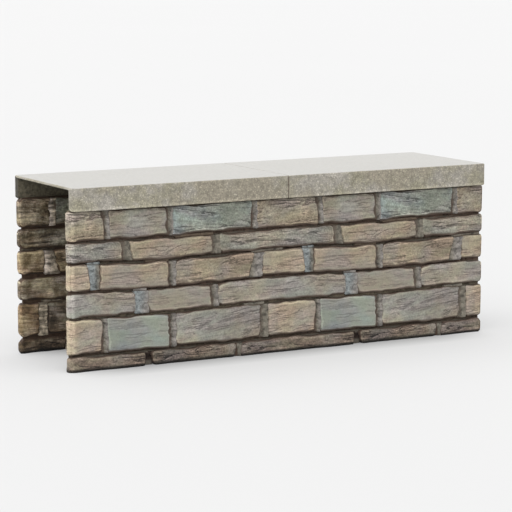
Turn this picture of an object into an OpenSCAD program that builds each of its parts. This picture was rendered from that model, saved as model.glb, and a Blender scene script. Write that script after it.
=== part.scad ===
// A hollow length of low stone wall, two bays long. Two thin leaves of coursed stone stand on
// either side of an open core, and two channel-shaped coping slabs cap them and tie them
// together. Both ends are open, so another length can run on from either one.
// Origin: on the ground, at the centre of the length and the width. +X runs along the wall,
// the front leaf is on the -Y side and +Z is up.

/* [Wall] */
// Length of one bay, which takes one coping slab and half a joint at each of its ends
bay_length = 1000; // [600:10:1500]
// Width over the outer faces of the two leaves
wall_width = 540; // [300:10:900]
// Thickness of each leaf of stone
leaf_thickness = 48; // [40:1:80]
// Radius of the outer corner where a leaf turns round each end
end_radius = 20; // [8:1:34]
// Chamfer that stands for the worn arrises along the outer face of each course
outer_arris = 9; // [2:1:14]
// The same along the inner face
inner_arris = 9; // [2:1:14]

/* [Courses, from the ground up] */
// Height of the thin base course
course_1_height = 57; // [40:1:180]
// Height of the second course, the tallest
course_2_height = 140; // [40:1:180]
// Height of the third course
course_3_height = 93; // [40:1:180]
// Height of the fourth course
course_4_height = 103; // [40:1:180]
// Height of the fifth course
course_5_height = 79; // [40:1:180]
// Height of the top course, under the coping
course_6_height = 117; // [40:1:180]

/* [Mortar] */
// Height of each bed of mortar between two courses
bed_height = 12; // [6:1:20]
// Height of the thin bed that the coping sits on
coping_bed_height = 5; // [3:1:12]
// How far the mortar lies back from a leaf's outer face
outer_recess = 15; // [6:1:16]
// How far the mortar lies back from a leaf's inner face
inner_recess = 10; // [2:1:14]
// How far the mortar stops short of a leaf's two ends
end_recess = 8; // [4:1:24]

/* [Coping] */
// Height of the coping's edge
coping_height = 96; // [60:1:140]
// How far the coping stands out past each leaf
overhang = 18; // [5:1:20]
// Thickness of the coping's hanging rims, which bear on the leaves
rim_thickness = 36; // [35:1:60]
// Thickness of the coping's top
top_thickness = 10; // [10:1:30]
// How far the coping stops short of the leaves' ends, which leaves room for mortar between lengths
coping_setback = 7.5; // [2:0.5:15]
// Radius of the coping's upright corners
coping_corner = 10; // [4:1:20]
// Radius of the coping's top edge
coping_edge = 5; // [2:1:10]
// Width of the mortar joint between the two coping slabs
coping_joint_width = 4; // [2:1:10]
// How far that joint's mortar lies back from the coping's faces
coping_joint_recess = 3; // [1:1:4]

/* [Hidden] */
COURSES = [
    course_1_height, course_2_height, course_3_height,
    course_4_height, course_5_height, course_6_height
];
BEDS = [bed_height, bed_height, bed_height, bed_height, bed_height, coping_bed_height];
wall_length = 2 * bay_length;
coping_width = wall_width + 2 * overhang;
// Heights of the underside of course n and of the bed on top of it, counting from 1 at the ground
function course_bottom(n) = n == 1 ? 0 : bed_bottom(n - 1) + BEDS[n - 2];
function bed_bottom(n) = course_bottom(n) + COURSES[n - 1];
coping_bottom = bed_bottom(6) + BEDS[5];
// How far a cutter runs past the face that it cuts
past = 10;
STONE = "#9a9386";
MORTAR = "#6e675c";
COPING = "#b5ae9c";
$fn = 64;

// ---- one leaf, drawn with its outer face on Y = 0 and its inner face on the +Y side ----

// Plan of a leaf: a long strip whose two outer corners are rounded.
module leaf_plan() {
    translate([-wall_length / 2 + end_radius, 0])
        square([wall_length - 2 * end_radius, leaf_thickness]);
    translate([-wall_length / 2, end_radius])
        square([wall_length, leaf_thickness - end_radius]);
    for (side = [-1, 1])
        translate([side * (wall_length / 2 - end_radius), end_radius])
            circle(r = end_radius);
}

// Section of a course: a block with its four long arrises worn off.
module course_section(height) {
    polygon([
        [outer_arris, 0],
        [leaf_thickness - inner_arris, 0],
        [leaf_thickness, inner_arris],
        [leaf_thickness, height - inner_arris],
        [leaf_thickness - inner_arris, height],
        [outer_arris, height],
        [0, height - outer_arris],
        [0, outer_arris]
    ]);
}

// Course n of the leaf, the whole length of the wall.
module course(n) {
    height = COURSES[n - 1];
    color(STONE)
        translate([0, 0, course_bottom(n)])
            intersection() {
                linear_extrude(height) leaf_plan();
                translate([-wall_length / 2, 0, 0])
                    rotate([90, 0, 90])
                        linear_extrude(wall_length) course_section(height);
            }
}

// The mortar on top of course n, lying back by outer from the outer face and by inner from the inner.
module bed(n, outer, inner) {
    length = wall_length - 2 * end_recess;
    color(MORTAR)
        translate([-length / 2, outer, bed_bottom(n)])
            cube([length, leaf_thickness - outer - inner, BEDS[n - 1]]);
}

// Puts what is drawn for a leaf in its place: the back leaf is the front one turned half round.
module on_leaf(leaf) {
    rotate([0, 0, leaf == "back" ? 180 : 0])
        translate([0, -wall_width / 2, 0])
            children();
}

// ---- the coping, drawn with its underside on Z = 0 ----

// Section of the coping, a channel turned over. An inset draws its joint's mortar, a size smaller.
module coping_section(inset) {
    half = coping_width / 2 - inset;
    top = coping_height - inset;
    hollow = coping_width / 2 - rim_thickness + inset;
    difference() {
        union() {
            translate([-half, inset])
                square([2 * half, top - coping_edge - inset]);
            translate([-half + coping_edge, top - coping_edge])
                square([2 * (half - coping_edge), coping_edge]);
            for (side = [-1, 1])
                translate([side * (half - coping_edge), top - coping_edge])
                    circle(r = coping_edge);
        }
        translate([-hollow, -past])
            square([2 * hollow, coping_height - top_thickness + inset + past]);
    }
}

// Plan of the slab on the +X side, from the joint out to its two rounded end corners.
module slab_plan() {
    start = coping_joint_width / 2;
    end = bay_length - coping_setback;
    half = coping_width / 2;
    translate([start, -half])
        square([end - coping_corner - start, coping_width]);
    translate([start, -half + coping_corner])
        square([end - start, coping_width - 2 * coping_corner]);
    for (side = [-1, 1])
        translate([end - coping_corner, side * (half - coping_corner)])
            circle(r = coping_corner);
}

// The slab on the +X side, whose two rims bear on the leaves.
module coping_slab() {
    color(COPING)
        translate([0, 0, coping_bottom])
            intersection() {
                linear_extrude(coping_height) slab_plan();
                rotate([90, 0, 90])
                    linear_extrude(bay_length) coping_section(0);
            }
}

// The mortar between the two slabs.
module coping_joint() {
    color(MORTAR)
        translate([-coping_joint_width / 2, 0, coping_bottom])
            rotate([90, 0, 90])
                linear_extrude(coping_joint_width) coping_section(coping_joint_recess);
}

// ---- the assembly ----

for (leaf = ["front", "back"]) {
    for (n = [1:6])
        on_leaf(leaf) course(n);
    for (n = [1:5])
        on_leaf(leaf) bed(n, outer_recess, inner_recess);
    on_leaf(leaf) bed(6, outer_arris, inner_arris);
}
rotate([0, 0, 180]) coping_slab();  // coping_left
coping_slab();  // coping_right
coping_joint();
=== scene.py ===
# %% [markdown]
# # A hollow length of stone block wall
# On the real wall two thin leaves of coursed stone stand either side of an open core, under a stone
# coping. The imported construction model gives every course, mortar bed and coping slab at its true
# size. This lesson dresses that frame: blocks laid course by course, mortar raked back between them,
# and two worn coping slabs on top. Nothing here makes the wall larger.

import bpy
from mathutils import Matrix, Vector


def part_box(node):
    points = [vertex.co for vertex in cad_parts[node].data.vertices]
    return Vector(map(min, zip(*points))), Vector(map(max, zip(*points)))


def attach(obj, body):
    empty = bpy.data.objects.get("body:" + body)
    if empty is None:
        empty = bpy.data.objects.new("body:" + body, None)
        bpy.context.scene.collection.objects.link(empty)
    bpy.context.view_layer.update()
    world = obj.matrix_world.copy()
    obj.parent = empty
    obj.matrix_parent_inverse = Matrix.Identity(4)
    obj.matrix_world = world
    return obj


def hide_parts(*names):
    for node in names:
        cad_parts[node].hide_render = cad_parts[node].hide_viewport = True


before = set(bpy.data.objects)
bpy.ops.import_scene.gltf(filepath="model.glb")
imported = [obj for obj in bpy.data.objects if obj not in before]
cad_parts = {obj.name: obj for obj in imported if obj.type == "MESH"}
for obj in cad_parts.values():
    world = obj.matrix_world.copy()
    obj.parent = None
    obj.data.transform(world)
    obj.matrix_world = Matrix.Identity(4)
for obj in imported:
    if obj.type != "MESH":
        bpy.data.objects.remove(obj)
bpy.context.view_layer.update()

# %% Shared measures
import math
import random

import bpy
import numpy as np
from mathutils import Matrix, Vector

BODY = "root"
MM = 0.001
WALL_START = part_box("front_course_1")[0].x
WALL_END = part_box("front_course_1")[1].x
OUTER_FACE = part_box("front_course_1")[0].y
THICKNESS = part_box("front_course_1")[1].y - OUTER_FACE
print(f"leaf {WALL_END - WALL_START:.3f} m long and {THICKNESS / MM:.0f} mm thick")

# %% [markdown]
# ## The view
# The wall is seen from a long way off, a little from the left and a little from above, so that the
# front face, the top and the open left end all show. A long lens keeps the courses nearly parallel.

# %% Camera
VIEW_TURN = math.radians(-29.28)
VIEW_RISE = math.radians(8.23)
VIEW_DISTANCE = 10.1
VIEW_TARGET = Vector((0.004, 0.0, 0.3735))
LENS_MM = 165.2


def place_camera():
    """A camera that looks at the target from the given turn, rise and distance."""
    level = math.cos(VIEW_RISE)
    away = Vector((math.sin(VIEW_TURN) * level, -math.cos(VIEW_TURN) * level, math.sin(VIEW_RISE)))
    camera = bpy.data.objects.new("camera", bpy.data.cameras.new("camera"))
    camera.data.lens = LENS_MM
    camera.data.clip_end = 600
    camera.location = VIEW_TARGET + away * VIEW_DISTANCE
    camera.rotation_euler = away.to_track_quat("Z", "Y").to_euler()
    bpy.context.scene.collection.objects.link(camera)
    bpy.context.scene.camera = camera
    return camera


camera = place_camera()
print("camera at", tuple(round(value, 2) for value in camera.location))

# %% [markdown]
# ## Helpers for node trees
# Geometry and shader trees are both chains of small sums. Written out node by node they are long, so
# a node's output is wrapped here as a value that can be added, taken away, multiplied and divided.
# Each sign puts one node into the tree, and a formula reads as it would on paper.

# %% Values
class Value:
    """An output of a node. A sign between it and another value, or a number, adds a node."""

    def __init__(self, socket):
        self.socket = socket

    def __add__(self, other):
        return maths("ADD", self, other)

    def __sub__(self, other):
        return maths("SUBTRACT", self, other)

    def __rsub__(self, other):
        return maths("SUBTRACT", other, self)

    def __mul__(self, other):
        return maths("MULTIPLY", self, other)

    def __truediv__(self, other):
        return maths("DIVIDE", self, other)

    def __abs__(self):
        return maths("ABSOLUTE", self)


def tree_of(values):
    """The tree that the first value among these belongs to."""
    return next(value.socket.id_data for value in values if isinstance(value, Value))


def add(tree, kind, **settings):
    """A new node with its settings."""
    made = tree.nodes.new(kind)
    for name, value in settings.items():
        setattr(made, name, value)
    return made


def feed(socket, value):
    """Give a socket a link from another node, or a fixed value."""
    if isinstance(value, Value):
        value = value.socket
    if isinstance(value, bpy.types.NodeSocket):
        socket.id_data.links.new(value, socket)
    else:
        socket.default_value = value


def feed_all(node, **values):
    """Feed several of a node's inputs by name, with _ for each space in a name."""
    for name, value in values.items():
        feed(node.inputs[name.replace("_", " ")], value)
    return node


# %% Sums on numbers and on vectors
VECTOR_SUMS = ("SCALE", "LENGTH", "NORMALIZE")


def maths(operation, *values):
    """The result of one sum, on vectors where a value is one. The last value of SCALE is a number."""
    kinds = [value.socket.type for value in values if isinstance(value, Value)]
    on_vectors = operation in VECTOR_SUMS or "VECTOR" in kinds
    node_kind = "ShaderNodeVectorMath" if on_vectors else "ShaderNodeMath"
    made = add(tree_of(values), node_kind, operation=operation)
    sockets = [made.inputs[0], made.inputs["Scale"]] if operation == "SCALE" else made.inputs
    for socket, value in zip(sockets, values):
        feed(socket, value)
    return Value(made.outputs[1 if operation == "LENGTH" else 0])


def times(vector, factor):
    """A vector made longer, or a colour made lighter, by a number."""
    return maths("SCALE", vector, factor)


def split(vector):
    """The x, y and z of a vector."""
    made = feed_all(add(tree_of([vector]), "ShaderNodeSeparateXYZ"), Vector=vector)
    return [Value(socket) for socket in made.outputs]


def combine(x, y, z):
    """A vector made of three numbers."""
    return Value(feed_all(add(tree_of([x, y, z]), "ShaderNodeCombineXYZ"), X=x, Y=y, Z=z).outputs[0])


def larger(one, other):
    """The larger of two values, part by part for vectors."""
    return maths("MAXIMUM", one, other)


def smaller(one, other):
    """The smaller of two values."""
    return maths("MINIMUM", one, other)


def between(factor, low, high):
    """low where the factor is 0, high where it is 1."""
    return factor * (high - low) + low


def ramp(value, low, high, to_low=0.0, to_high=1.0):
    """A smooth step: to_low below low, to_high above high."""
    made = add(tree_of([value]), "ShaderNodeMapRange", interpolation_type="SMOOTHSTEP")
    feed_all(made, Value=value, From_Min=low, From_Max=high, To_Min=to_low, To_Max=to_high)
    return Value(made.outputs[0])


def fall(value, low, high):
    """A smooth step down: 1 below low, 0 above high."""
    return ramp(value, low, high, 1.0, 0.0)


def noise(vector, scale=1.0, detail=2.0, roughness=0.5, distortion=0.0):
    """Soft random values, about 0 to 1 and mostly near a half."""
    made = feed_all(add(tree_of([vector]), "ShaderNodeTexNoise"), Vector=vector, Scale=scale,
                    Detail=detail, Roughness=roughness, Distortion=distortion)
    return Value(made.outputs[0])


def mixed(factor, low, high, way="MIX"):
    """Two colours mixed."""
    made = add(tree_of([factor, low, high]), "ShaderNodeMix", data_type="RGBA", blend_type=way)
    sockets = {socket.identifier: socket for socket in made.inputs}
    feed(sockets["Factor_Float"], factor)
    feed(sockets["A_Color"], low)
    feed(sockets["B_Color"], high)
    return Value(next(socket for socket in made.outputs if socket.identifier == "Result_Color"))


# %% [markdown]
# ## What the mason lays
# Each leaf repeats one arrangement of blocks, a metre long. A course is a list of upright joints, each
# with the kind of stone of the block that ends at it. A block is simply what lies between one joint and
# the next. Writing the joints down one by one keeps the bond right, with no joint over another, which
# blocks scattered at random would not. Six kinds of stone are enough, because each block drifts a little
# lighter or darker along its length, by a seeded draw.

# %% Tones of stone and mortar
TONES = {
    # walling stone
    "slate": (135, 140, 135), "grey": (145, 140, 130), "stone": (140, 135, 125),
    "buff": (150, 140, 125), "rose": (145, 135, 120), "umber": (120, 110, 100),
    # mortar
    "lime": (130, 125, 120), "blue_lime": (130, 135, 135), "dull_lime": (110, 105, 95),
    # the last of these is painted shade, for the back of an open joint
    "dusty": (105, 95, 80), "raw_mortar": (85, 70, 60), "soot": (70, 60, 50), "hollow": (50, 40, 35),
}
STONE_SHARE = 0.8  # how much of a tone's light the material gives back, to suit the studio's light


def light_of(tone):
    """A tone as the light that it reflects, which is what a colour socket or attribute holds."""
    steps = [value / 255 for value in TONES[tone]]
    return [STONE_SHARE * ((step + 0.055) / 1.055) ** 2.4 for step in steps] + [1.0]


# %% The joints of each course, from the ground up
REPEAT = (WALL_END - WALL_START) / 2
# each kind: how far its mortar lies back, in mm; how much deeper it is along its left side, or along
# its right side where that is negative; and the tones of its left and right sides
JOINTS = {
    "raked": (2, 8, "dull_lime", "lime"),
    "narrow": (3, 9, "dull_lime", "dull_lime"),
    # the open joint's near-black fill is painted shade of the gap
    "open": (20, 0, "hollow", "hollow"),
    "smeared": (3, 6, "dull_lime", "dull_lime"),
    "patch": (2, 3, "dull_lime", "lime"),
    "flush": (2, 0, "blue_lime", "lime"),
    "wedge": (2, -4, "blue_lime", "dull_lime"),
}
# each joint: its left and right sides at the foot and at the head, in mm along the course, its kind,
# then the stone of the block that ends at it, how rough that block is, mostly 0 to 1, and how steeply
# its bedding climbs to the right
COURSES = {
    1: [(340, 370, 340, 370, "open", "umber", 1.25, 0.0),
        (760, 785, 760, 785, "narrow", "umber", 1.5, 0.05)],
    2: [(150, 170, 145, 165, "raked", "buff", 0.5, 0.05),
        (450, 475, 450, 475, "raked", "slate", 0.0, 0.0),
        (880, 910, 880, 910, "smeared", "stone", 0.5, 0.1)],
    3: [(300, 350, 295, 350, "flush", "grey", 0.5, 0.0),
        (650, 675, 645, 670, "raked", "grey", 0.0, 0.0)],
    4: [(100, 135, 80, 135, "wedge", "buff", 0.5, 0.0),
        (450, 475, 445, 475, "raked", "buff", 0.25, 0.0),
        (820, 880, 850, 890, "patch", "rose", 0.75, -0.05)],
    5: [(250, 280, 230, 265, "smeared", "stone", 1.0, 0.0),
        (655, 685, 650, 685, "smeared", "rose", 0.5, 0.05)],
    6: [(160, 180, 150, 175, "raked", "buff", 1.0, 0.05),
        (445, 465, 440, 465, "raked", "stone", 0.5, 0.05),
        (840, 860, 835, 855, "raked", "slate", 1.0, -0.1)],
}
# mortar left standing proud in a bed: bed, left and right in mm, tone, and how far back it lies in mm
SMEARS = [
    (2, 800, 900, "dull_lime", 7), (3, 285, 350, "lime", 7), (4, 80, 140, "blue_lime", 7),
    (4, 340, 450, "dusty", 9), (4, 835, 990, "dull_lime", 8), (5, 480, 660, "dusty", 9),
]
# the mortar of each bed, and under the coping
BED_TONES = {1: "soot", 2: "dusty", 3: "raw_mortar", 4: "soot", 5: "raw_mortar", 6: "dusty"}
# how far each bed rises and falls over a repeat, in mm: most half way up, not at all at foot and coping
BED_RISE = (0, 1, 3, 4, 4, 2, 0)
BED_START = 0.25  # where in its wave a repeat starts, in turns
print({course: len(joints) for course, joints in COURSES.items()}, "blocks to a repeat")

# %% [markdown]
# ## One mark for every block
# The blocks could be modelled by hand one by one, or scattered from a few originals. Geometry Nodes
# do better: a mark on a line, holding the facts about its block, is enough to cut each one to
# length. The same marks serve for the mortar, which fills whatever the blocks leave.

# %% Marks
def wander(bed):
    """How a bed wanders: its wave's height, start, and the height of a wave of half its length."""
    height = BED_RISE[bed] * MM
    return height, BED_START, -height / 4


def block_tones(stone, seed):
    """The tones of a block's left and right ends: its stone, each drawn a little lighter or darker."""
    draw = random.Random(seed)
    shades = [draw.uniform(0.88, 1.12) for _ in range(2)]
    return [[shade * part for part in light_of(stone)[:3]] + [1.0] for shade in shades]


def fill_mark(left, right, heights, beds, **facts):
    """Facts for one block or fillet: where its foot and head start and end, and its bounds."""
    return dict(foot_left=left[0], head_left=left[1], foot_right=right[0], head_right=right[1],
                foot_height=heights[0], head_height=heights[1],
                below=wander(beds[0]), above=wander(beds[1]), **facts)


FOOTING = {1: 6 * MM}  # how far a course's foot is drawn below the ground, which then cuts it square
HEAD_LIFT = {6: 2 * MM}  # how far a course's head is pressed up into the bed over it


def course_heights(course):
    """The heights of a course's foot and head."""
    low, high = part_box(f"front_course_{course}")
    return low.z - FOOTING.get(course, 0.0), high.z + HEAD_LIFT.get(course, 0.0)


def joint_sides(course, number):
    """The left and right sides of a joint, each at its foot and its head, in metres along the wall."""
    turns, place = divmod(number, len(COURSES[course]))
    start = WALL_START + turns * REPEAT
    sides = [start + side * MM for side in COURSES[course][place][:4]]
    foot_left, foot_right, head_left, head_right = sides
    return (foot_left, head_left), (foot_right, head_right)


def on_wall(*places):
    """Places along the wall, held between its two ends."""
    return tuple(min(max(place, WALL_START), WALL_END) for place in places)


LEAST_BLOCK = 15 * MM  # a block cut shorter than this by the wall's end is left out


def block_marks(course):
    """One mark for each block of a course. A block that runs past an end of the wall is cut there."""
    marks = []
    for number in range(0, 3 * len(COURSES[course])):
        left, right = joint_sides(course, number - 1)[1], joint_sides(course, number)[0]
        kept_left, kept_right = on_wall(*left), on_wall(*right)
        if min(kept_right) - max(kept_left) < LEAST_BLOCK:
            continue
        place = number % len(COURSES[course])
        stone, rough, climb = COURSES[course][place][5:]
        tone_left, tone_right = block_tones(stone, 10 * course + place)
        marks.append(fill_mark(
            kept_left, kept_right, course_heights(course), (course - 1, course),
            whole_left=left[0], whole_right=right[0], seed=10.0 * course + place, recess=0.0,
            groove=0.0, rough=rough, climb=climb, tone_left=tone_left, tone_right=tone_right))
    return marks


block_counts = {course: len(block_marks(course)) for course in COURSES}
print("blocks in each course", block_counts)

# %% Marks for the mortar
TUCK = 9 * MM  # how far mortar runs in behind the stone on either side of it


def mortar_mark(left, right, heights, beds, seed, recess, groove, tones, rough=1.0):
    """One mark for a piece of mortar. left and right are its sides at the foot and at the head."""
    return fill_mark(left, right, heights, beds, whole_left=left[0], whole_right=right[0], seed=seed,
                     recess=recess, groove=groove, rough=rough, climb=0.0,
                     tone_left=light_of(tones[0]), tone_right=light_of(tones[1]))


def upright_marks(course):
    """One mark for each upright joint of a course, a little wider than the gap that it fills."""
    marks = []
    for number in range(0, 3 * len(COURSES[course])):
        left, right = joint_sides(course, number)
        if max(right) + TUCK > WALL_END:
            continue
        place = number % len(COURSES[course])
        recess, groove, *tones = JOINTS[COURSES[course][place][4]]
        marks.append(mortar_mark(
            [side - TUCK for side in left], [side + TUCK for side in right], course_heights(course),
            (course - 1, course), 100.0 + 10 * course + place, recess * MM, groove * MM, tones))
    return marks


SMEAR_LAP = 1 * MM  # how far a smear laps over the courses under and over its bed


def smear_marks():
    """One mark for each smear of mortar that stands proud in a bed, in both repeats."""
    marks = []
    for bed, left, right, tone, recess in SMEARS:
        low, high = (corner.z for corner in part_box(f"front_bed_{bed}"))
        for turn in (0, 1):
            start = WALL_START + turn * REPEAT
            sides = [(start + side * MM, start + side * MM) for side in (left, right)]
            marks.append(mortar_mark(*sides, (low - SMEAR_LAP, high + SMEAR_LAP), (bed, bed), 300.0 + left,
                                     recess * MM, 0.0, (tone, tone)))
    return marks


FINISHED_GAP = 5 * MM  # how far a bed stops short of the wall's finished end
BED_SHADE = 5 * MM  # how much farther back the bed's face lies than the construction model's plain strip


def bed_mark(node, bed, head_tuck, joining_gap):
    """One mark for a whole bed, tucked in between the courses over and under it."""
    low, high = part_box(node)
    tones = (BED_TONES[bed], BED_TONES[bed])
    start, end = WALL_START + FINISHED_GAP, WALL_END - joining_gap
    return mortar_mark((start, start), (end, end), (low.z - TUCK, high.z + head_tuck), (bed, bed),
                       200.0 + bed, low.y - OUTER_FACE + BED_SHADE, 0.0, tones)


def mortar_marks(joining_gap):
    """One mark for each piece of mortar in a leaf, whose beds stop short of its joining end by a gap."""
    marks = [mark for course in COURSES for mark in upright_marks(course)] + smear_marks()
    for bed in range(1, len(COURSES)):
        marks.append(bed_mark(f"front_bed_{bed}", bed, TUCK, joining_gap))
    marks.append(bed_mark("front_coping_bed", len(COURSES), 3 * MM, joining_gap))
    return marks


print(len(mortar_marks(0.0)), "beds, upright joints and smears")

# %% [markdown]
# ## A tree that cuts the blocks
# For each mark a For Each zone makes a box with as many cells as its size needs. What follows works
# on all the boxes at once. Its corners and arrises are rounded, it is squeezed between the joints
# beside it, shifted with the wander of its beds, and its face is worn back in layers, since stone
# like this splits along its bedding. Wear only ever takes stone away from a face or an end, so no
# block stands past its leaf. Up and down it may wander a little into the beds, as a laid block does.

# %% Facts and small shapes
KINDS = {float: ("FLOAT", "value"), tuple: ("FLOAT_VECTOR", "vector"), list: ("FLOAT_COLOR", "color")}


def marks_mesh(name, marks):
    """The marks as a mesh of loose points, each fact an attribute."""
    mesh = bpy.data.meshes.new(name)
    mesh.vertices.add(len(marks))
    for fact in marks[0]:
        values = [mark[fact] for mark in marks]
        kind, field = KINDS[type(values[0])]
        attribute = mesh.attributes.new(fact, kind, "POINT")
        attribute.data.foreach_set(field, np.array(values, np.float32).ravel())
    return mesh


def named(tree, name, kind="FLOAT"):
    """An attribute of the geometry, by name."""
    made = add(tree, "GeometryNodeInputNamedAttribute", data_type=kind)
    return Value(feed_all(made, Name=name).outputs["Attribute"])


def stored(geometry, name, value, kind="FLOAT"):
    """The geometry with a value stored on every point."""
    made = add(geometry.id_data, "GeometryNodeStoreNamedAttribute", data_type=kind, domain="POINT")
    return feed_all(made, Geometry=geometry, Name=name, Value=value).outputs[0]


def box_size(fact):
    """The mean length and the height that a mark asks for."""
    foot = fact("foot_right") - fact("foot_left")
    head = fact("head_right") - fact("head_left")
    length = (foot + head) * 0.5
    height = fact("head_height") - fact("foot_height")
    return length, height


def cut_boxes(tree, marks, cell, thickness):
    """A box of small cells for each mark, at its own length and height, that knows its mark's number."""
    start = add(tree, "GeometryNodeForeachGeometryElementInput")
    end = add(tree, "GeometryNodeForeachGeometryElementOutput", domain="POINT")
    start.pair_with_output(end)
    for item in ("Length", "Height"):
        end.input_items.new("FLOAT", item)
    length, height = box_size(lambda name: named(tree, name))
    feed_all(start, Geometry=marks, Length=length, Height=height)
    sides = (Value(start.outputs["Length"]), thickness, Value(start.outputs["Height"]))
    cube = feed_all(add(tree, "GeometryNodeMeshCube"), Size=combine(*sides))
    for side, name in zip(sides, ("Vertices X", "Vertices Y", "Vertices Z")):
        feed(cube.inputs[name], maths("CEIL", side / cell) + 1.0)
    numbered = stored(cube.outputs["Mesh"], "mark", start.outputs["Index"], "INT")
    results = {socket.identifier: socket for socket in end.inputs}
    feed(results["Generation_0"], numbered)
    return {socket.identifier: socket for socket in end.outputs}["Generation_0"]


# %% Round arrises and wandering beds
def cut_back(size, limit, radius):
    """How far a place lies within a radius of a limit."""
    return larger(radius + (size - limit), 0.0)


def worn_box(place, half, corner, arris):
    """A place on a box moved so that its corners and arrises are round, and how near an arris it is."""
    across = split(place)[1]
    flat = place * (1.0, 0.0, 1.0)
    inner = (half - combine(corner, 0.0, corner)) * (1.0, 0.0, 1.0)
    kept = larger(smaller(flat, inner), times(inner, -1.0))
    out = flat - kept
    out_x, _, out_z = split(abs(out))
    reach = larger(out_x, out_z)
    to_side = cut_back(reach, corner, arris)
    depth = abs(across)
    to_face = cut_back(depth, split(half)[1], arris)
    turn = larger(maths("LENGTH", combine(to_side, to_face, 0.0)), arris)
    cut = 1.0 - arris / turn
    reach = reach - to_side * cut
    depth = depth - to_face * cut
    moved = kept + times(maths("NORMALIZE", out), reach)
    across = maths("SIGN", across) * depth
    return moved + combine(0.0, across, 0.0), cut


def wave(along, facts):
    """The height of a wandering bed: one long wave and one of half its length."""
    height, start, half = split(facts)
    angle = (along + start) * math.tau
    return maths("SINE", angle) * height + maths("SINE", angle * 2.0) * half


TINY = 1e-6  # keeps a division from meeting 0


def turned_corner(x, y, half_length, outer, radius):
    """x and y drawn in so that the leaf's outer corner is round in plan at both of its ends."""
    flat_end = half_length - radius
    past_x = larger(abs(x) - flat_end, 0.0)
    past_y = larger(outer + radius - y, 0.0)
    reach = maths("LENGTH", combine(past_x, past_y, 0.0))
    nearest = larger(past_x, past_y)
    share = nearest / larger(reach, TINY)
    cut = (1.0 - share) * maths("GREATER_THAN", nearest, 0.0)
    inward = maths("SIGN", x) * (past_x * cut)
    return x - inward, y + past_y * cut


# %% The tree
SEED_STEP = (3.7, 1.9, 1.0)  # how far apart, in metres, the grains of two blocks with seeds one apart lie
MOST_ROUND = 0.48  # the largest corner, as a share of the block's shorter side
FULL_EDGE = 0.29  # about the cut that worn_box gives at the middle of an arris
INNER_RELIEF = 1.6  # how many times deeper a leaf is worn on its inner face than on its outer one
INNER_LESS = 1 * MM  # how much less mortar lies back from the inner face than from the outer one
RELIEF_UNIT = 6 * MM  # the relief that the finishes read as 1
DEPTH_UNIT = 10 * MM  # the depth that the finishes read as 1


def new_tree(name, inputs):
    """An empty geometry tree with named inputs, and its group input node."""
    tree = bpy.data.node_groups.new(name, "GeometryNodeTree")
    tree.is_modifier = True
    tree.interface.new_socket("Geometry", in_out="INPUT", socket_type="NodeSocketGeometry")
    for label, kind in inputs.items():
        tree.interface.new_socket(label, in_out="INPUT", socket_type=f"NodeSocket{kind}")
    tree.interface.new_socket("Geometry", in_out="OUTPUT", socket_type="NodeSocketGeometry")
    return tree, add(tree, "NodeGroupInput")


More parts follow.
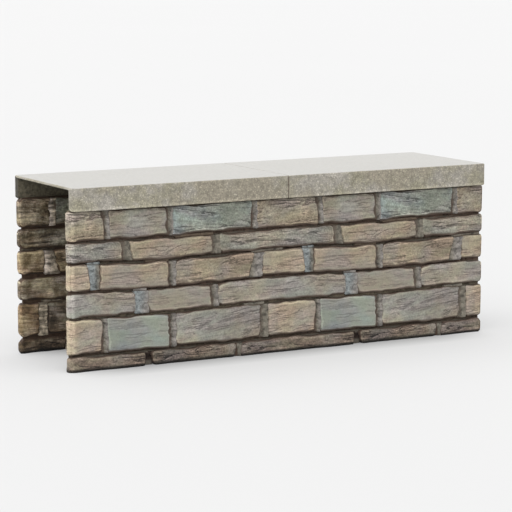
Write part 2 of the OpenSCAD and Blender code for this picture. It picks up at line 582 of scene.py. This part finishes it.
def laid_stone_tree():
    """The tree that turns marks into worn blocks, or into the mortar between them."""
    sizes = ["Cell", "Thickness", "Outer Face", "Half Length", "Repeat", "Finished Radius",
             "Joining Radius", "Corner", "Outer Arris", "Inner Arris", "Layers", "Hollows", "Wobble",
             "Inner Recess", "End Wear", "End Dirt And Shade"]
    inputs = {**{size: "Float" for size in sizes}, "Bedding": "Vector", "Finish": "Material"}
    tree, given = new_tree("laid_stone", inputs)
    size = {socket.name: Value(socket) for socket in given.outputs}
    boxes = cut_boxes(tree, size["Geometry"], size["Cell"], size["Thickness"])
    mark = named(tree, "mark", "INT")

    def fact(name, kind="FLOAT"):
        made = add(tree, "GeometryNodeSampleIndex", data_type=kind)
        feed_all(made, Geometry=size["Geometry"], Value=named(tree, name, kind), Index=mark)
        return Value(made.outputs[0])

    # where the place is: u along, w from the outer face to the inner, v up, each from 0 to 1
    place = Value(add(tree, "GeometryNodeInputPosition").outputs[0])
    length, height = box_size(fact)
    whole = combine(length, size["Thickness"], height)
    u, w, v = split(place / whole + (0.5, 0.5, 0.5))
    foot = between(u, fact("foot_left"), fact("foot_right"))
    head = between(u, fact("head_left"), fact("head_right"))
    x = between(v, foot, head)
    z = between(v, fact("foot_height"), fact("head_height"))
    seed = fact("seed")
    rough = fact("rough")
    along = x - fact("whole_left")
    bedding_height = z - along * fact("climb")
    grain = combine(along, split(place)[1], bedding_height) + times(SEED_STEP, seed)

    # round the corners and arrises, less at the wall's finished end
    from_end = x + size["Half Length"]
    worn = ramp(noise(grain, 14.0, 2.0), 0.3, 0.7, 0.65, 1.2)
    roundest = smaller(length, height) * MOST_ROUND
    to_joining = size["Half Length"] - x
    chipped = size["End Wear"] * fall(to_joining, 20 * MM, 60 * MM)
    corner = (size["Corner"] + chipped) * ramp(from_end, 0.0, 50 * MM, 0.7, 1.0)
    corner = smaller(corner * worn, roundest)
    arris = between(w, size["Outer Arris"], size["Inner Arris"]) * ramp(v, 0.2, 0.8, 1.3, 1.0)
    arris = smaller(arris * worn, corner)
    round_place, edge = worn_box(place, times(whole, 0.5), corner, arris)
    shift_x, _, shift_z = split(round_place - place)

    # draw the sides in unevenly, but hardly at the wall's ends
    to_end = size["Half Length"] - abs(x)
    inland = ramp(to_end, 10 * MM, 60 * MM)
    uneven = ramp(noise(grain, 8.0, 2.0, 0.5), 0.3, 0.7, -0.65, 0.5)
    wobble = size["Wobble"] * uneven
    ragged = ramp(noise(grain, 32.0, 2.0), 0.3, 0.7, -0.5, 0.5)
    side_wobble = larger(ragged * size["Wobble"] + wobble, -3 * MM)
    from_left = (u * -2.0 + 1.0) * side_wobble * inland
    from_foot = (v * -2.0 + 1.0) * wobble
    turns = from_end / size["Repeat"]
    bend = between(v, wave(turns, fact("below", "FLOAT_VECTOR")),
                   wave(turns, fact("above", "FLOAT_VECTOR")))
    x = x + shift_x + from_left
    z = larger(z + shift_z + (from_foot + bend), 0.0)

    # wear the two faces back, in layers and hollows
    layers = noise(grain * size["Bedding"], 1.0, 3.0, 0.6, 0.4)
    hollows = noise(grain, 12.0, 2.0)
    relief = ramp(layers, 0.28, 0.72) * size["Layers"] + ramp(hollows, 0.3, 0.7) * size["Hollows"]
    relief = relief * (rough * 0.75 + 0.25)
    groove = fact("groove")
    from_side = ragged * 0.3 + between(maths("LESS_THAN", groove, 0.0), u, 1.0 - u)
    deeper = abs(groove) * fall(from_side, 0.38, 0.56)
    recess = fact("recess")
    inner_recess = smaller(size["Inner Recess"], larger(recess - INNER_LESS, 0.0))
    push = between(w, recess + deeper, inner_recess * -1.0)
    y = size["Thickness"] * 0.5 + size["Outer Face"] + (split(round_place)[1] + push)

    # how near an arris a place is, which the finishes darken with dirt and painted shade, less on the
    # arrises lit from the left and above and more at the foot of each piece; how far back it lies, for
    # painted shade in recesses; and what faces the hollow or the next length, which the stone finish
    # paints darker as shade
    # painted light: arrises lit from the left and from above are darkened less
    lit_from_left_and_above = ramp(shift_x, 0.0, 2 * MM, 1.0, 0.5) * ramp(shift_z, -2 * MM, 0.0, 0.45, 1.0)
    # painted shade: each piece darkens towards its foot, where it faces down over the bed
    under = ramp(v * height, 0.0, 20 * MM, 0.88, 0.0)
    # dirt and painted shade on the arrises is kept at the back leaf's joining end
    end_dirt_and_shade = size["End Dirt And Shade"] * ramp(x, 0.0, 1 * MM)
    edge = larger(edge / FULL_EDGE * lit_from_left_and_above, under) * larger(inland, end_dirt_and_shade)
    # depth feeds painted shade in recesses, inside feeds painted shade on the inner face and the joining
    # end
    from_outer = y - size["Outer Face"]
    depth = smaller(smaller(from_outer, size["Thickness"] - from_outer), size["Half Length"] - abs(x))
    joining = fall(size["Half Length"] - x, 3 * MM, 12 * MM)
    inside = larger(ramp(w, 0.75, 0.95), joining)
    patchy = noise(grain, 9.0, 3.0) * 0.9 - 0.45
    drift = ramp(along / (fact("whole_right") - fact("whole_left")) + patchy, 0.2, 0.8)
    tone = mixed(drift, fact("tone_left", "FLOAT_COLOR"), fact("tone_right", "FLOAT_COLOR"))

    y = y + between(w, relief, relief * -INNER_RELIEF)
    radius = between(maths("GREATER_THAN", x, 0.0), size["Finished Radius"], size["Joining Radius"])
    x, y = turned_corner(x, y, size["Half Length"], size["Outer Face"], radius)

    # painted highlight: a pale strip along the wall's finished end, as lit from the left, and a pale edge
    # at the front leaf's joining end
    joining_end_highlight = ramp(to_joining, 6 * MM, 16 * MM, 0.6, 0.0) * (1.0 - size["End Dirt And Shade"])
    end_highlight = larger(fall(from_end, 17 * MM, 27 * MM), joining_end_highlight)
    shaped = stored(boxes, "grain", grain, "FLOAT_VECTOR")
    shaped = stored(shaped, "tone", tone, "FLOAT_COLOR")
    # edge, depth, inside and finished carry painted shade and painted highlights to the finishes
    looks = {"edge": edge, "relief": relief / RELIEF_UNIT, "finished": end_highlight,
             "depth": depth / DEPTH_UNIT, "inside": inside, "rough": rough, "rise": v}
    for name, value in looks.items():
        shaped = stored(shaped, name, value)
    moved = feed_all(add(tree, "GeometryNodeSetPosition"), Geometry=shaped, Position=combine(x, y, z))
    smooth = feed_all(add(tree, "GeometryNodeSetShadeSmooth"), Geometry=moved.outputs[0])
    real = feed_all(add(tree, "GeometryNodeRealizeInstances"), Geometry=smooth.outputs[0])
    finished = feed_all(add(tree, "GeometryNodeSetMaterial"), Geometry=real.outputs[0],
                        Material=size["Finish"])
    feed(add(tree, "NodeGroupOutput").inputs[0], finished.outputs[0])
    return tree


laid_stone = laid_stone_tree()
print("laid_stone has", len(laid_stone.nodes), "nodes")

# %% [markdown]
# ## Stone, mortar and coping finishes
# Real walling stone is never one colour. Each block drifts from one tone to another, is streaked along its
# bedding, and carries dark cracks, each with a painted highlight below it, pale flecks, and paler arrises,
# partly worn and partly a painted highlight. Dirt and painted shade darken its arrises and wherever the
# surface goes back. Painted shade also darkens the foot of each block, the faces towards the hollow and
# the bottom of the wall, and a painted highlight lightens the wall's finished end. The patterns follow the
# grain that was stored while the block was cut, so they belong to the block and not to the wall.

# %% Shader helpers
def new_finish(name):
    """A new material, its node tree and its shader."""
    material = bpy.data.materials.new(name)
    material.use_nodes = True
    return material, material.node_tree, material.node_tree.nodes["Principled BSDF"]


def attribute(tree, name, output="Fac"):
    """An attribute of the mesh, as a shader reads it."""
    return Value(add(tree, "ShaderNodeAttribute", attribute_name=name).outputs[output])


def object_place(tree):
    """The place on the piece, in metres."""
    return Value(add(tree, "ShaderNodeTexCoord").outputs["Object"])


def tinted(colour, tint):
    """A colour seen through another."""
    return mixed(1.0, colour, tint, "MULTIPLY")


def stretched(place, stretch, detail=3.0, roughness=0.6, distortion=0.6):
    """Noise drawn out along the directions where the stretch is small."""
    return noise(place * stretch, 1.0, detail, roughness, distortion)


def dress(shader, colour, roughness, relief, depth):
    """Give a shader its colour and roughness, and fine relief for the light to catch."""
    bump = feed_all(add(shader.id_data, "ShaderNodeBump"), Height=relief, Distance=depth, Strength=1.0)
    feed_all(shader, Base_Color=colour, Roughness=roughness, Normal=bump.outputs[0])


# %% Walling stone
# painted shade on the faces towards the hollow and the next length: how much of its light stone keeps
# there, in its lightest patches, then in its darkest
INSIDE_SHADE = [(0.70, 0.655, 0.58, 1.0), (0.84, 0.70, 0.52, 1.0)]
# the tints that drift over a block
WARM = (1.05, 1.0, 0.92, 1.0)
COOL = (0.96, 0.99, 1.06, 1.0)
PINK = (1.035, 0.975, 1.0, 1.0)
GREEN = (0.97, 1.025, 0.97, 1.0)
HIGHLIGHT_DROP = 4 * MM  # how far below a crack its painted highlight lies, where its lower lip would catch the light


def crack_lines(grain, where):
    """Long thin splits along the bedding, broken off where another noise is high."""
    off_line = abs(stretched(grain, (4.0, 4.0, 38.0), 4.0, 0.55, 1.0) - 0.5)
    return fall(off_line, 0.01, 0.035) * fall(where, 0.47, 0.56)


def stone_finish():
    """Split walling stone, streaked and mottled."""
    material, tree, shader = new_finish("walling_stone")
    grain = attribute(tree, "grain", "Vector")
    edge = attribute(tree, "edge")
    rough = attribute(tree, "rough")
    inside = attribute(tree, "inside")
    mottle = noise(grain, 20.0, 4.0, 0.65)
    grit = noise(grain, 140.0, 2.0, 0.7)
    streaks = stretched(grain, (10.0, 10.0, 80.0), 5.0, 0.7)
    seams = stretched(grain, (4.0, 4.0, 60.0), 4.0, 0.6, 0.4)
    broken = stretched(grain + (4.0, 2.0, 9.0), (7.0, 7.0, 18.0), 3.0)
    warmth = noise(grain, 7.0, 3.0)

    colour = attribute(tree, "tone", "Color")
    colour = mixed(ramp(warmth, 0.35, 0.65), tinted(colour, COOL), tinted(colour, WARM))
    colour = mixed(ramp(broken, 0.35, 0.65), tinted(colour, PINK), tinted(colour, GREEN))
    spread = rough * 0.7 + 0.3
    # paler arrises: partly wear, partly a painted highlight where arrises catch the light
    pale_arris = ramp(edge, 0.05, 0.2) * fall(edge, 0.3, 0.6) * ramp(warmth, 0.45, 0.6)
    cracks = crack_lines(grain, broken)
    # painted highlight: a pale line just below each crack
    crack_highlights = crack_lines(grain + (0.0, 0.0, HIGHLIGHT_DROP), broken)
    above_ground = split(object_place(tree))[2]
    # this shade holds painted light too: a highlight on the wall's finished end, and painted shade where
    # the face is worn back deepest
    shade = ((ramp(mottle, 0.25, 0.75, -0.15, 0.15) * spread + 1.0)
             * (ramp(grit, 0.3, 0.7, -0.28, 0.28) * spread + 1.0)
             * (ramp(streaks, 0.25, 0.75, -0.33, 0.33) * spread + 1.0) * (crack_highlights * (spread * 0.2) + 1.0)
             * (cracks * (spread * -0.65) + 1.0) * (ramp(seams, 0.33, 0.38, -0.4, 0.0) * rough + 1.0)
             * (pale_arris * 0.38 + 1.0) * (attribute(tree, "finished") * 0.4 + 1.0)
             * (ramp(attribute(tree, "relief"), 0.2, 1.0) * -0.25 + 1.06))
    colour = times(colour, shade)
    # dirt and painted shade: darker on the arrises and where the surface lies back
    on_arris = ramp(edge + (mottle * 0.6 - 0.3), 0.1, 0.9, 0.0, 0.92)
    dirt_and_shade = larger(on_arris, ramp(attribute(tree, "depth"), 0.2, 0.6))
    colour = mixed(dirt_and_shade, colour, light_of("raw_mortar"))
    # painted shade on the faces towards the hollow: mottled, darker on the arrises and near the ground
    inside_light = (ramp(mottle, 0.3, 0.7, 0.4, 1.62) * ramp(streaks, 0.3, 0.7, 0.66, 1.36)
             * ramp(edge, 0.0, 0.7, 1.15, 0.5) * ramp(above_ground, 0.03, 0.3, 0.6, 1.0))
    inside_tint = mixed(fall(inside_light, 0.4, 1.3), *INSIDE_SHADE)
    shaded_inside = times(tinted(colour, inside_tint), inside_light)
    colour = mixed(inside, colour, shaded_inside)
    # painted shadow: the stone goes nearly black in its lowest 7 mm, lightening up to 18 mm, where it
    # meets the floor
    colour = times(colour, ramp(above_ground, 7 * MM, 18 * MM, 0.08, 1.0))
    shader.inputs["Specular IOR Level"].default_value = 0.3
    relief = streaks * 0.6 + grit * 0.3 - cracks * 0.4
    dress(shader, colour, ramp(mottle, 0.2, 0.8, 0.72, 0.95), relief, 3.0 * MM)
    return material


walling_stone = stone_finish()
print(walling_stone.name)

# %% Mortar
# the tints of mortar on the inner face: lighter near that face, and painted shade far back in a joint
INNER_TINT = (2.3, 2.15, 2.0, 1.0)
DEEP_SHADE = (0.6, 0.55, 0.5, 1.0)


def mortar_finish():
    """Lime mortar, pale where it is flush and darker where it is raked out, partly its own tone and partly
    painted shade.
    """
    material, tree, shader = new_finish("mortar")
    grain = attribute(tree, "grain", "Vector")
    depth = attribute(tree, "depth")
    smears = stretched(grain, (40.0, 40.0, 48.0), 4.0, 0.6)
    grit = noise(grain, 160.0, 3.0, 0.7)
    spots = ramp(noise(grain, 48.0, 2.0), 0.34, 0.44, 0.55, 1.0)
    stretches = stretched(grain, (7.0, 7.0, 40.0), 3.0)
    colour = times(attribute(tree, "tone", "Color"), ramp(smears, 0.3, 0.7, 0.62, 1.4) * spots
                   * ramp(stretches, 0.35, 0.65, 0.85, 1.25))
    deep = ramp(depth, 1.3, 1.6)
    # painted shade: mortar that lies farther back is mixed towards dark raw mortar
    groove_shade = ramp(smears * 0.5 + depth, 0.95, 1.45) * (1.0 - deep)
    colour = mixed(groove_shade, colour, light_of("raw_mortar"))
    # painted light: the lower part of a deep bed is lighter, its upper part left in the painted shade of
    # the block over it
    lit_lower_bed = ramp(smears * 0.3 + attribute(tree, "rise"), 0.48, 0.66, 0.6, 0.0) * deep
    colour = mixed(lit_lower_bed, colour, light_of("dull_lime"))
    colour = times(colour, ramp(grit, 0.3, 0.7, 0.85, 1.12))
    inner_face_mortar = tinted(colour, INNER_TINT)
    # painted shade: mortar on the inner face darkens towards its arrises and its foot
    edged = smears * 0.8 + attribute(tree, "edge")
    inner_face_mortar = times(inner_face_mortar, ramp(edged, 0.35, 1.0, 1.15, 0.55) * ramp(stretches, 0.38, 0.6, 0.45, 1.3))
    # painted shade far back in a joint on the inner face
    unseen = mixed(ramp(depth, 0.5, 0.8), inner_face_mortar, tinted(colour, DEEP_SHADE))
    colour = mixed(attribute(tree, "inside"), colour, unseen)
    shader.inputs["Specular IOR Level"].default_value = 0.2
    dress(shader, colour, ramp(grit, 0.2, 0.8, 0.85, 1.0), smears + grit * 0.4, 1.5 * MM)
    return material


mortar = mortar_finish()
print(mortar.name)

# %% [markdown]
# ## Laying the leaves
# The tree is run once for each course, and once for all the mortar of a leaf. The result is copied
# to a plain mesh and the tree is taken off. The back leaf is laid like the front one and then turned
# half round, with the ends of its courses more chipped.

# %% Lay one leaf
BLOCK_SIZES = {
    "Cell": 5 * MM, "Corner": 15 * MM, "Outer Arris": 11 * MM, "Inner Arris": 11 * MM,
    "Layers": 3.0 * MM, "Hollows": 3.5 * MM, "Wobble": 8 * MM, "Inner Recess": 0.0,
    "Bedding": (7.0, 12.0, 70.0),
}
MORTAR_SIZES = {
    "Cell": 7 * MM, "Corner": 6 * MM, "Outer Arris": 4 * MM, "Inner Arris": 4 * MM,
    "Layers": 4.0 * MM, "Hollows": 2.0 * MM, "Wobble": 1 * MM, "Inner Recess": 10 * MM,
    "End Wear": 0.0, "End Dirt And Shade": 0.0,
    "Bedding": (50.0, 50.0, 45.0),
}
LEAF_SIZES = {
    "Thickness": THICKNESS, "Outer Face": OUTER_FACE, "Half Length": (WALL_END - WALL_START) / 2,
    "Repeat": REPEAT, "Finished Radius": 26 * MM, "Joining Radius": 20 * MM,
}


def lay(name, marks, sizes, finish):
    """Run the tree on marks, and return the result as a plain mesh."""
    mesh = marks_mesh(name, marks)
    holder = bpy.data.objects.new(name, mesh)
    bpy.context.scene.collection.objects.link(holder)
    modifier = holder.modifiers.new("laid_stone", "NODES")
    modifier.node_group = laid_stone
    values = {**LEAF_SIZES, **sizes, "Finish": finish}
    for item in laid_stone.interface.items_tree:
        if item.in_out == "INPUT" and item.name in values:
            modifier[item.identifier] = values[item.name]
    evaluated = holder.evaluated_get(bpy.context.evaluated_depsgraph_get())
    made = bpy.data.meshes.new_from_object(evaluated)
    bpy.data.objects.remove(holder)
    bpy.data.meshes.remove(mesh)
    made.name = name
    return made


def show(name, mesh, replaced, turned):
    """Put a mesh in the scene as a piece that stands for construction nodes, turned half round or not."""
    if turned:
        mesh.transform(Matrix.Rotation(math.pi, 4, "Z"))
    piece = bpy.data.objects.new(name, mesh)
    bpy.context.scene.collection.objects.link(piece)
    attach(piece, BODY)
    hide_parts(*replaced)
    mesh.calc_loop_triangles()
    print(name, len(mesh.loop_triangles), "triangles")


# %% Lay both leaves
# at each leaf's joining end: how far its blocks are chipped, how much dirt and painted shade stays on
# their arrises, and how far short of the end its beds stop
LEAF_ENDS = {"front": (2 * MM, 0.0, 9 * MM), "back": (9 * MM, 0.2, 16 * MM)}
for leaf, (end_wear, end_dirt_and_shade, joining_gap) in LEAF_ENDS.items():
    ends = {"End Wear": end_wear, "End Dirt And Shade": end_dirt_and_shade}
    for course in COURSES:
        name = f"{leaf}_course_{course}_blocks"
        blocks = lay(name, block_marks(course), {**BLOCK_SIZES, **ends}, walling_stone)
        show(name, blocks, [f"{leaf}_course_{course}"], leaf == "back")
    fillets = lay(f"{leaf}_mortar", mortar_marks(joining_gap), MORTAR_SIZES, mortar)
    beds = [f"{leaf}_bed_{bed}" for bed in range(1, len(COURSES))] + [f"{leaf}_coping_bed"]
    show(f"{leaf}_mortar", fillets, beds, leaf == "back")

# %% [markdown]
# ## Coping slabs
# Each slab is a channel turned over, sawn from fine sandstone and worn soft along its arrises. A
# bevelled box would do from afar, but an even bevel looks new. Here the section is drawn as a chain
# of points outside and another inside, and both are swept along the slab. That leaves every point
# free to be drawn in a little more or less, as wear would.

# %% Section of a slab
def arc(centre, radius, start, end, steps):
    """Points on an arc, the angles in degrees."""
    angles = np.radians(np.linspace(start, end, steps))
    return [(centre[0] + radius * math.cos(a), centre[1] + radius * math.sin(a)) for a in angles]


def straight(start, end, steps):
    """Points between two ends, which are left out."""
    shares = np.linspace(0, 1, steps + 1)[1:-1]
    return [(start[0] + (end[0] - start[0]) * s, start[1] + (end[1] - start[1]) * s) for s in shares]


def chain(half, low, high, foot_radius, edge_radius, outside):
    """Half of a section, as (y, z): from a rim's foot up its side and over to the middle of the top."""
    way = -1 if outside else 1
    foot = arc((-half - way * foot_radius, low + foot_radius), foot_radius, 270, 270 + way * 90, 4)
    edge = arc((-half + edge_radius, high - edge_radius), edge_radius, 180, 90, 6)
    side = straight(foot[-1], edge[0], 11)
    top = straight(edge[-1], (0, high), 36)
    near = foot + side + edge + top
    far = [(-y, z) for y, z in reversed(near)]
    return np.array(near + [(0, high)] + far)


slab_low, slab_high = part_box("coping_right")
SLAB_HALF = slab_high.y
RIM = 36 * MM
TOP = 10 * MM
OUTSIDE_RADIUS = 5 * MM
FOOT_RADIUS = 2 * MM
INSIDE_RADIUS = 8 * MM
outside_chain = chain(SLAB_HALF, slab_low.z, slab_high.z, OUTSIDE_RADIUS, OUTSIDE_RADIUS, True)
inside_chain = chain(SLAB_HALF - RIM, slab_low.z, slab_high.z - TOP, FOOT_RADIUS, INSIDE_RADIUS, False)
print(len(outside_chain), "points over the section")


# %% Sweep a slab
FINISHED_CORNER = 26 * MM  # the slab's upright corner over a leaf's finished end
JOINING_CORNER = 10 * MM  # the same over a leaf's joining end
JOINT_ARRIS = 3 * MM
END_ARRIS = 9 * MM
STATION = 8 * MM  # about how far apart the sections of a slab are, away from its ends
EVEN_WEAR = 0.5 * MM  # the most worn away anywhere
ARRIS_WEAR = 2.5 * MM  # the most worn away on an arris, on top of that
NOISE_SPREAD = 14  # how far apart the lowest and highest sums of soft_noise's waves usually are


def end_rounding(depth, radius):
    """How far a face is drawn in at a depth from a slab's end, for a round arris of that radius."""
    short = np.clip(radius - depth, 0, radius)
    return radius - np.sqrt(radius ** 2 - short ** 2)


def soft_noise(points, scale, seed):
    """Smooth noise from 0 to 1, as a few waves in fixed random directions."""
    draw = np.random.default_rng(seed)
    total = np.zeros(len(points))
    for octave in range(5):
        for _ in range(6):
            direction = draw.normal(size=3)
            direction /= np.linalg.norm(direction)
            turned_by = draw.uniform(0, math.tau)
            total += np.sin(points @ direction * scale * 2 ** octave + turned_by) / 1.6 ** octave
    return np.clip(0.5 + total / NOISE_SPREAD, 0, 1)


def stations(start, end, start_radius, end_radius):
    """Places along a slab, close together where its two end arrises turn."""
    turn = 1 - np.cos(np.linspace(0, math.pi / 2, 9))
    near = start + start_radius * turn[::2]
    far = end - end_radius * turn[::-1]
    count = int((far[0] - near[-1]) / STATION)
    return np.concatenate([near, np.linspace(near[-1], far[0], count)[1:-1], far])


def slab_skin(section, outside, places, seed):
    """The points of one side of a slab, a row for each place along it."""
    run = np.gradient(section, axis=0)
    run /= np.linalg.norm(run, axis=1)[:, None]
    inward = np.stack([run[:, 1], -run[:, 0]], axis=1) * (1 if outside else -1)
    flat = np.maximum(np.abs(inward[:, 0]), np.abs(inward[:, 1]))
    arris = np.clip((1 - flat) / 0.2, 0, 1)
    corner = np.where(section[:, 0] < 0, JOINING_CORNER, FINISHED_CORNER)
    rows = []
    for place in places:
        points = np.column_stack([np.full(len(section), place), section])
        wear = EVEN_WEAR * soft_noise(points, 30, seed)
        wear += ARRIS_WEAR * arris * soft_noise(points, 60, seed + 1) ** 3
        if outside:
            at_joint = end_rounding(place - slab_low.x, JOINT_ARRIS)
            narrower = end_rounding(slab_high.x - place, corner) + at_joint
            lower = end_rounding(slab_high.x - place, END_ARRIS) + at_joint
            points[:, 1] *= 1 - narrower / SLAB_HALF
            points[:, 2] += inward[:, 1] * lower
        points[:, 1:] += inward * wear[:, None]
        rows.append(points)
    return rows


def slab_mesh(name, seed):
    """The slab on the right-hand side, as a closed mesh that marks its faces underneath and inside, and
    its end caps, for painted shade.
    """
    places = stations(slab_low.x, slab_high.x, JOINT_ARRIS, FINISHED_CORNER)
    outer_rows = slab_skin(outside_chain, True, places, seed)
    inner_rows = slab_skin(inside_chain, False, places, seed)
    loops = [np.concatenate([outer, inner[::-1]]) for outer, inner in zip(outer_rows, inner_rows)]
    count = len(outside_chain)
    around = 2 * count
    faces, painted_shade = [], []
    for row in range(len(loops) - 1):
        for step in range(around):
            a, b = row * around + step, row * around + (step + 1) % around
            faces.append((a, a + around, b + around, b))
            painted_shade.append(float(count - 1 <= step < around))
    last = (len(loops) - 1) * around
    finished_rim = slab_high.y - RIM
    for step in range(count - 1):
        inner, inner_next = around - 1 - step, around - 2 - step
        faces.append((step, step + 1, inner_next, inner))
        faces.append((last + step + 1, last + step, last + inner, last + inner_next))
        painted_shade += [1.0, 2.0 * float(loops[-1][inner][1] < finished_rim - TOP)]
    mesh = bpy.data.meshes.new(name)
    mesh.from_pydata([tuple(point) for point in np.concatenate(loops)], [], faces)
    mesh.attributes.new("painted_shade", "FLOAT", "FACE").data.foreach_set("value", np.array(painted_shade, np.float32))
    mesh.shade_smooth()
    mesh.set_sharp_from_angle(angle=math.radians(50))
    return mesh


# %% [markdown]
# ## Sandstone for the coping
# A finer, greener stone than the blocks: speckled grains, broad olive and tan stains, and a pale band
# along its foot, partly rubbed wear and partly a painted highlight. Its top is painted lighter and greyer,
# a painted highlight for the light from above, and the faces underneath and inside are painted dark brown
# as shade.

# %% Coping sandstone
# its two stains, the blooms over them, the painted highlight of its top, and the painted shade underneath
OLIVE = (0.222, 0.205, 0.15, 1.0)
GREY_BUFF = (0.264, 0.246, 0.212, 1.0)
TAN = (0.25, 0.224, 0.172, 1.0)
LIT_TOP = (0.328, 0.322, 0.306)
UNDERSIDE_SHADE = (0.098, 0.086, 0.058)


def coping_finish():
    """Fine weathered sandstone, with painted light on its top and foot and painted shade underneath."""
    material, tree, shader = new_finish("coping_sandstone")
    place = object_place(tree)
    speckle = noise(place, 150.0, 2.0, 0.7)
    grains = noise(place, 60.0, 4.0, 0.7)
    stains = noise(place, 9.0, 4.0, 0.6)
    blooms = noise(place + (3.0, 5.0, 7.0), 5.0, 3.0)
    height = split(place)[2]
    top = ramp(height, slab_high.z - 2.5 * MM, slab_high.z - 0.5 * MM)
    # a pale band along the foot: partly wear, partly a painted highlight
    worn_and_lit_foot = fall(height, slab_low.z + 4 * MM, slab_low.z + 15 * MM)
    colour = mixed(ramp(blooms, 0.5, 0.65), mixed(ramp(stains, 0.38, 0.62), OLIVE, GREY_BUFF), TAN)
    shade = (ramp(speckle, 0.28, 0.72, 0.8, 1.2) * ramp(grains, 0.3, 0.7, 0.76, 1.2)
             * ramp(speckle, 0.58, 0.66, 1.0, 1.4) * ramp(blooms, 0.3, 0.7, 1.08, 0.92)
             * (worn_and_lit_foot * 0.45 + 0.93))
    colour = times(colour, shade)
    # painted highlight: the top is lighter and greyer, as lit from above
    lit_top = times(LIT_TOP, ramp(grains, 0.3, 0.7, 0.94, 1.06))
    colour = mixed(top, colour, mixed(0.1, lit_top, colour))
    # painted shade: the faces underneath and inside go dark brown, the cap at the finished end darker
    # still
    painted_shade = attribute(tree, "painted_shade")
    shaded_underside = times(UNDERSIDE_SHADE, ramp(grains, 0.3, 0.7, 0.5, 1.6))
    colour = mixed(painted_shade, colour, times(shaded_underside, ramp(painted_shade, 1.0, 2.0, 1.0, 0.35)))
    dress(shader, colour, ramp(top, 0.0, 1.0, 0.75, 0.42), grains + speckle * 0.5, 1.2 * MM)
    return material


coping_sandstone = coping_finish()
for side, seed in (("left", 23), ("right", 11)):
    slab = slab_mesh(f"coping_slab_{side}", seed)
    slab.materials.append(coping_sandstone)
    show(f"coping_slab_{side}", slab, [f"coping_{side}"], side == "left")

# %% Mortar between the slabs
def joint_finish():
    """The same mortar as in the wall, for the joint that the construction model already shapes."""
    material, tree, shader = new_finish("coping_joint_mortar")
    place = object_place(tree)
    grit = noise(place, 120.0, 4.0, 0.7)
    colour = mixed(ramp(grit, 0.3, 0.7), light_of("raw_mortar"), light_of("umber"))
    dress(shader, colour, ramp(grit, 0.2, 0.8, 0.85, 1.0), grit, 1.0 * MM)
    return material


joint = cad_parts["coping_joint"]
joint.data.materials.clear()
joint.data.materials.append(joint_finish())

# %% [markdown]
# ## Studio
# A pale floor that runs out of sight, an even pale sky, and one very broad lamp high on the left.
# The lamp is so wide that it casts no edge, only a soft darkness where the wall meets the floor. The
# floor glows a little too, and less so beside the leaves, which deepens that darkness.

# %% Floor
FLOOR_GLOW = 0.41
FLOOR_SHADE = 0.15  # how far from a leaf's face the glow is weakened by it
SHADE_SHARE = 0.6  # how much of the glow is lost right under a leaf
SHADE_FADE = 0.3  # how far before an end of the wall the loss starts to fade
SHADE_PAST = 0.05  # how far past the end it is gone
FLOOR_REACH = 300


def floor_finish():
    """Matt studio floor, lit a little from below, less so right beside the wall."""
    material, tree, shader = new_finish("studio_floor")
    place = object_place(tree)
    colour = mixed(noise(place, 0.3, 1.0), (0.22, 0.22, 0.22, 1), (0.225, 0.225, 0.225, 1))
    shader.inputs["Emission Color"].default_value = (1.0, 1.0, 1.0, 1.0)
    near_x, near_y, _ = split(abs(place))
    from_middle = abs(near_y - (-OUTER_FACE - THICKNESS / 2))
    beside = feed_all(add(tree, "ShaderNodeMapRange"), Value=from_middle, From_Min=THICKNESS / 2,
                      From_Max=FLOOR_SHADE + THICKNESS / 2, To_Min=-SHADE_SHARE * FLOOR_GLOW, To_Max=0.0)
    along = fall(near_x, WALL_END - SHADE_FADE, WALL_END + SHADE_PAST)
    glow = Value(beside.outputs[0]) * along + FLOOR_GLOW
    feed_all(shader, Base_Color=colour, Emission_Strength=glow, Roughness=0.9)
    return material


floor_mesh = bpy.data.meshes.new("floor")
corners = [(x * FLOOR_REACH, y * FLOOR_REACH, 0) for x, y in ((-1, -1), (1, -1), (1, 1), (-1, 1))]
floor_mesh.from_pydata(corners, [], [(0, 1, 2, 3)])
floor_mesh.materials.append(floor_finish())
floor = bpy.data.objects.new("floor", floor_mesh)
bpy.context.scene.collection.objects.link(floor)
print("floor", 2 * FLOOR_REACH, "m across, glow", FLOOR_GLOW)

# %% Sky and lamp
LAMP_STRENGTH = 3.5
LAMP_WIDTH = math.radians(120)
LAMP_FROM = Vector((-0.4, -0.2, 0.89))
world = bpy.data.worlds.new("studio")
world.use_nodes = True
feed_all(world.node_tree.nodes["Background"], Color=(1.0, 1.0, 1.0, 1.0), Strength=1.0)
bpy.context.scene.world = world

lamp = bpy.data.objects.new("lamp", bpy.data.lights.new("lamp", "SUN"))
lamp.data.energy = LAMP_STRENGTH
lamp.data.angle = LAMP_WIDTH
lamp.rotation_euler = LAMP_FROM.to_track_quat("Z", "Y").to_euler()
bpy.context.scene.collection.objects.link(lamp)
bpy.context.scene.view_settings.view_transform = "Standard"
bpy.context.scene.view_settings.look = "None"
print("lamp strength", lamp.data.energy)
